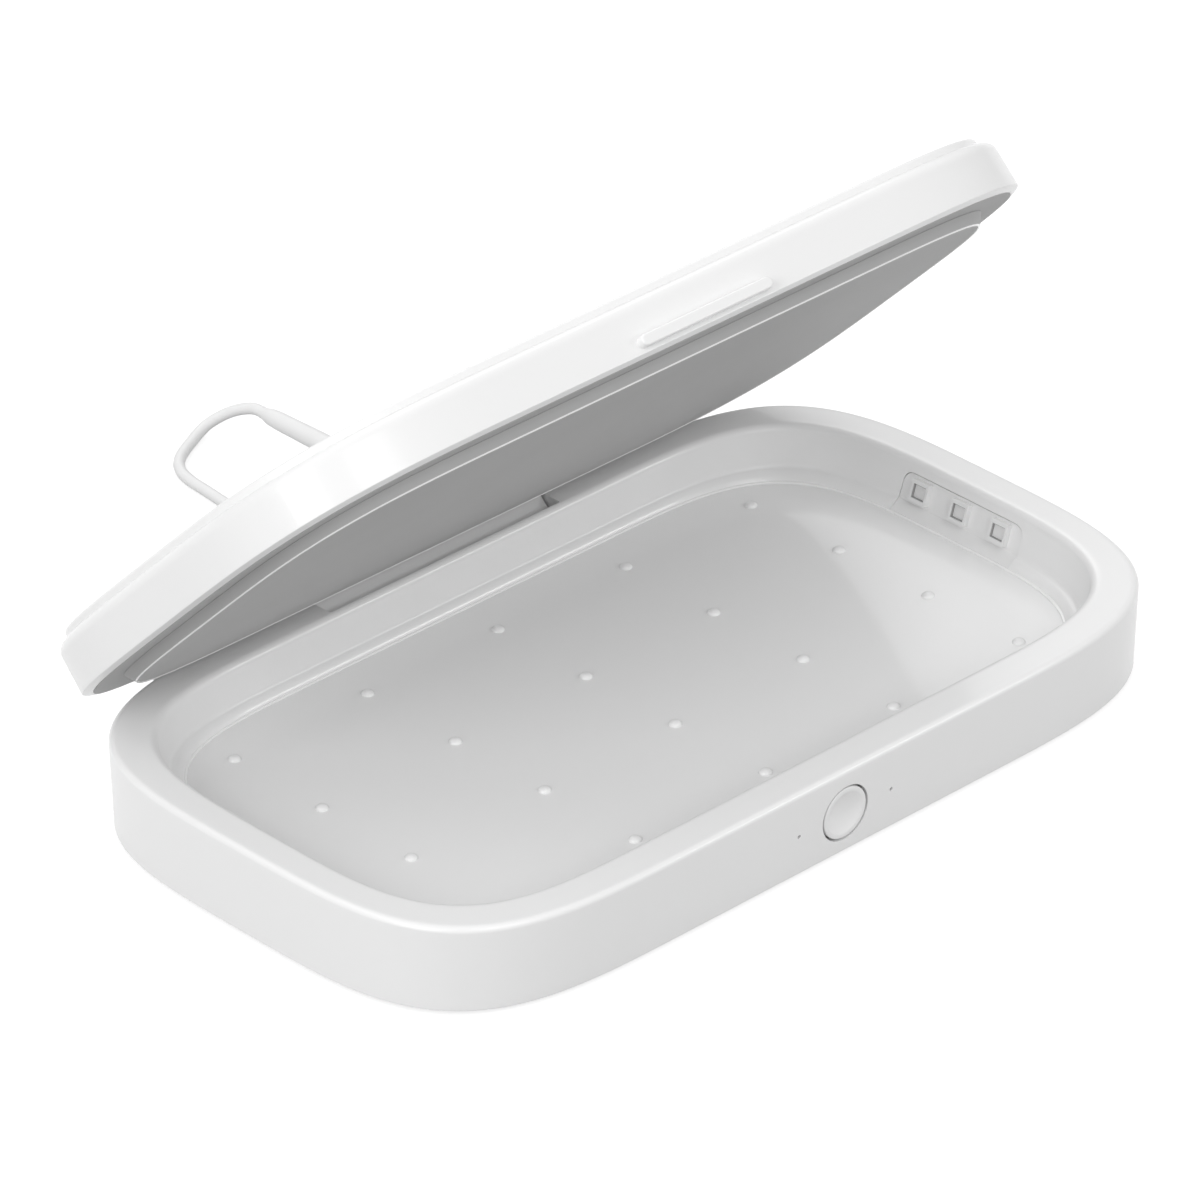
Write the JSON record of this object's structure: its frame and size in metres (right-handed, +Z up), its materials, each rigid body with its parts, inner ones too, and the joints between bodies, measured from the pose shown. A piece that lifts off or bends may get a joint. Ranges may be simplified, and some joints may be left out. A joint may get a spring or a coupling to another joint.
{
  "type": "uv sanitizer box for phones",
  "caption": "Flat rounded tray box with a hinged lid that stands open by friction, lamps in the tray's ends, a button in front and a cable behind.",
  "frame": {"origin": "on the floor under the middle of the box with its lid open as stored, without the cable", "axes": "+X along the box to the right of the button, +Y to the back where hinge and cable are, +Z up"},
  "size_m": [0.1968, 0.202, 0.1047],
  "materials": {
    "white_shell": "satin white moulded shell",
    "white_liner": "smooth white moulded liner",
    "grey_reflector": "glossy grey, mirrors at a low angle",
    "rubber_foot": "soft grey rubber",
    "steel": "plated steel",
    "acetal": "waxy bearing plastic",
    "circuit_board": "green solder mask",
    "black_component": "black moulded",
    "lamp_window": "clear pane over grey ceramic",
    "light_guide": "clear moulded",
    "flat_lead": "ivory film",
    "white_cable": "smooth white cable sheath"
  },
  "bodies": {
    "base": {"upper_housing": "white_shell", "bottom_cover": "white_shell", "led_cover_right": "white_liner", "led_cover_left": "white_liner", "foot_front_left": "rubber_foot", "foot_front_right": "rubber_foot", "foot_back_left": "rubber_foot", "foot_back_right": "rubber_foot", "cover_screw_front_left": "steel", "cover_screw_front_right": "steel", "cover_screw_back_left": "steel", "cover_screw_back_right": "steel", "hinge_pin": "steel", "usb_socket": "steel", "plug_tip": "steel", "usb_plug_shell": "steel", "main_board": "circuit_board", "switch_board": "circuit_board", "led_board_left": "circuit_board", "led_board_right": "circuit_board", "control_chip": "black_component", "power_inductor": "black_component", "tact_switch": "black_component", "lid_sensor": "black_component", "cord_tie": "black_component", "uv_led_right_1": "lamp_window", "uv_led_right_2": "lamp_window", "uv_led_right_3": "lamp_window", "uv_led_left_1": "lamp_window", "uv_led_left_2": "lamp_window", "uv_led_left_3": "lamp_window", "light_pipe_left": "light_guide", "light_pipe_right": "light_guide", "lamp_lead_left": "flat_lead", "lamp_lead_right": "flat_lead", "switch_lead": "flat_lead", "cable_plug": "white_cable", "strain_relief": "white_cable", "power_cord": "white_cable", "cord_coil": "white_cable", "cord_tail": "white_cable", "usb_plug_body": "white_cable"},
    "lid": {"lid_shell": "white_shell", "lid_top_plate": "white_shell", "lid_liner": "white_liner", "reflector_plate": "grey_reflector", "hinge_bracket": "white_liner", "arm_screw_left": "steel", "arm_screw_right": "steel", "friction_bush_left": "acetal", "friction_bush_right": "acetal", "lid_magnet": "steel", "lid_screw_front_left": "steel", "lid_screw_front_right": "steel", "lid_screw_back_left": "steel", "lid_screw_back_right": "steel"},
    "button": {"power_button": "white_shell"}
  },
  "joints": [
    {"name": "lid_hinge", "type": "hinge", "parent": "base", "child": "lid", "pos_m": [0, 0.05059, 0.0145], "axis": [-1, 0, 0], "range_deg": [-44.9, 40]},
    {"name": "button_press", "type": "slide", "parent": "base", "child": "button", "axis": [0, 0.9984, 0.0563], "range_m": [0, 0.0005], "stiffness_N_per_m": 400, "springref_m": -0.0005}
  ]
}
